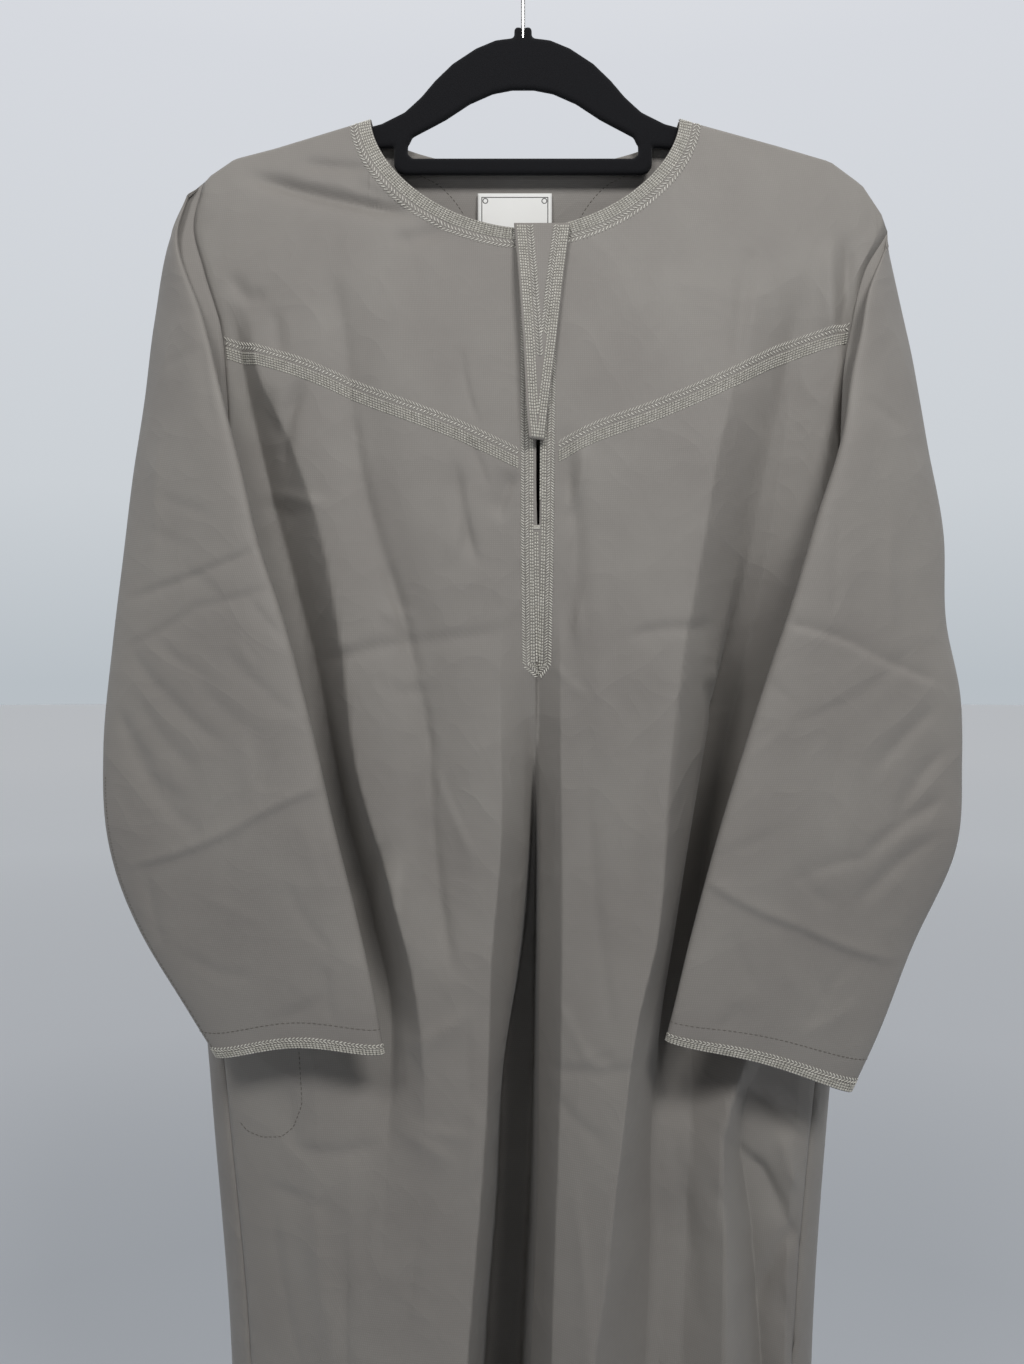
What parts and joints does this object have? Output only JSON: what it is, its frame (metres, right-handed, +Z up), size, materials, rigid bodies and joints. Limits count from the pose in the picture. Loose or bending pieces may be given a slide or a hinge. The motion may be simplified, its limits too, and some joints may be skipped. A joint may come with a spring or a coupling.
{
  "type": "thobe robe on a clothes hanger",
  "caption": "Taupe collarless thobe robe with embroidered neck, yoke, placket and cuffs, hanging on a black flocked clothes hanger with a steel hook.",
  "frame": {"origin": "inside top of the hook, where a rail bears, with the hanger and garment hanging below it", "axes": "+Z up along the garment's length, front of the garment faces -Y, +X to the right of someone who faces the front"},
  "size_m": [0.6004, 0.2166, 1.5778],
  "materials": {
    "cloth": "fine plain weave, taupe",
    "embroidery": "chain stitch thread rows",
    "label": "woven satin",
    "flock": "flocked velvet over plastic",
    "steel": "polished wire"
  },
  "bodies": {
    "root": {"front_panel_chest": "cloth", "front_panel_waist": "cloth", "front_panel_hip": "cloth", "front_panel_skirt": "cloth", "back_panel_chest": "cloth", "back_panel_waist": "cloth", "back_panel_hip": "cloth", "back_panel_skirt": "cloth", "sleeve_left_head": "cloth", "sleeve_left_arm": "cloth", "sleeve_left_end": "cloth", "sleeve_right_head": "cloth", "sleeve_right_arm": "cloth", "sleeve_right_end": "cloth", "pocket_bag_left": "cloth", "pocket_bag_right": "cloth", "placket_flap": "cloth", "placket_panel": "embroidery", "neck_band_front_left": "embroidery", "neck_band_front_right": "embroidery", "neck_band_back": "embroidery", "yoke_band_left": "embroidery", "yoke_band_right": "embroidery", "cuff_band_left": "embroidery", "cuff_band_right": "embroidery", "neck_label": "label", "hanger_body": "flock", "hanger_hook": "steel"}
  },
  "joints": []
}
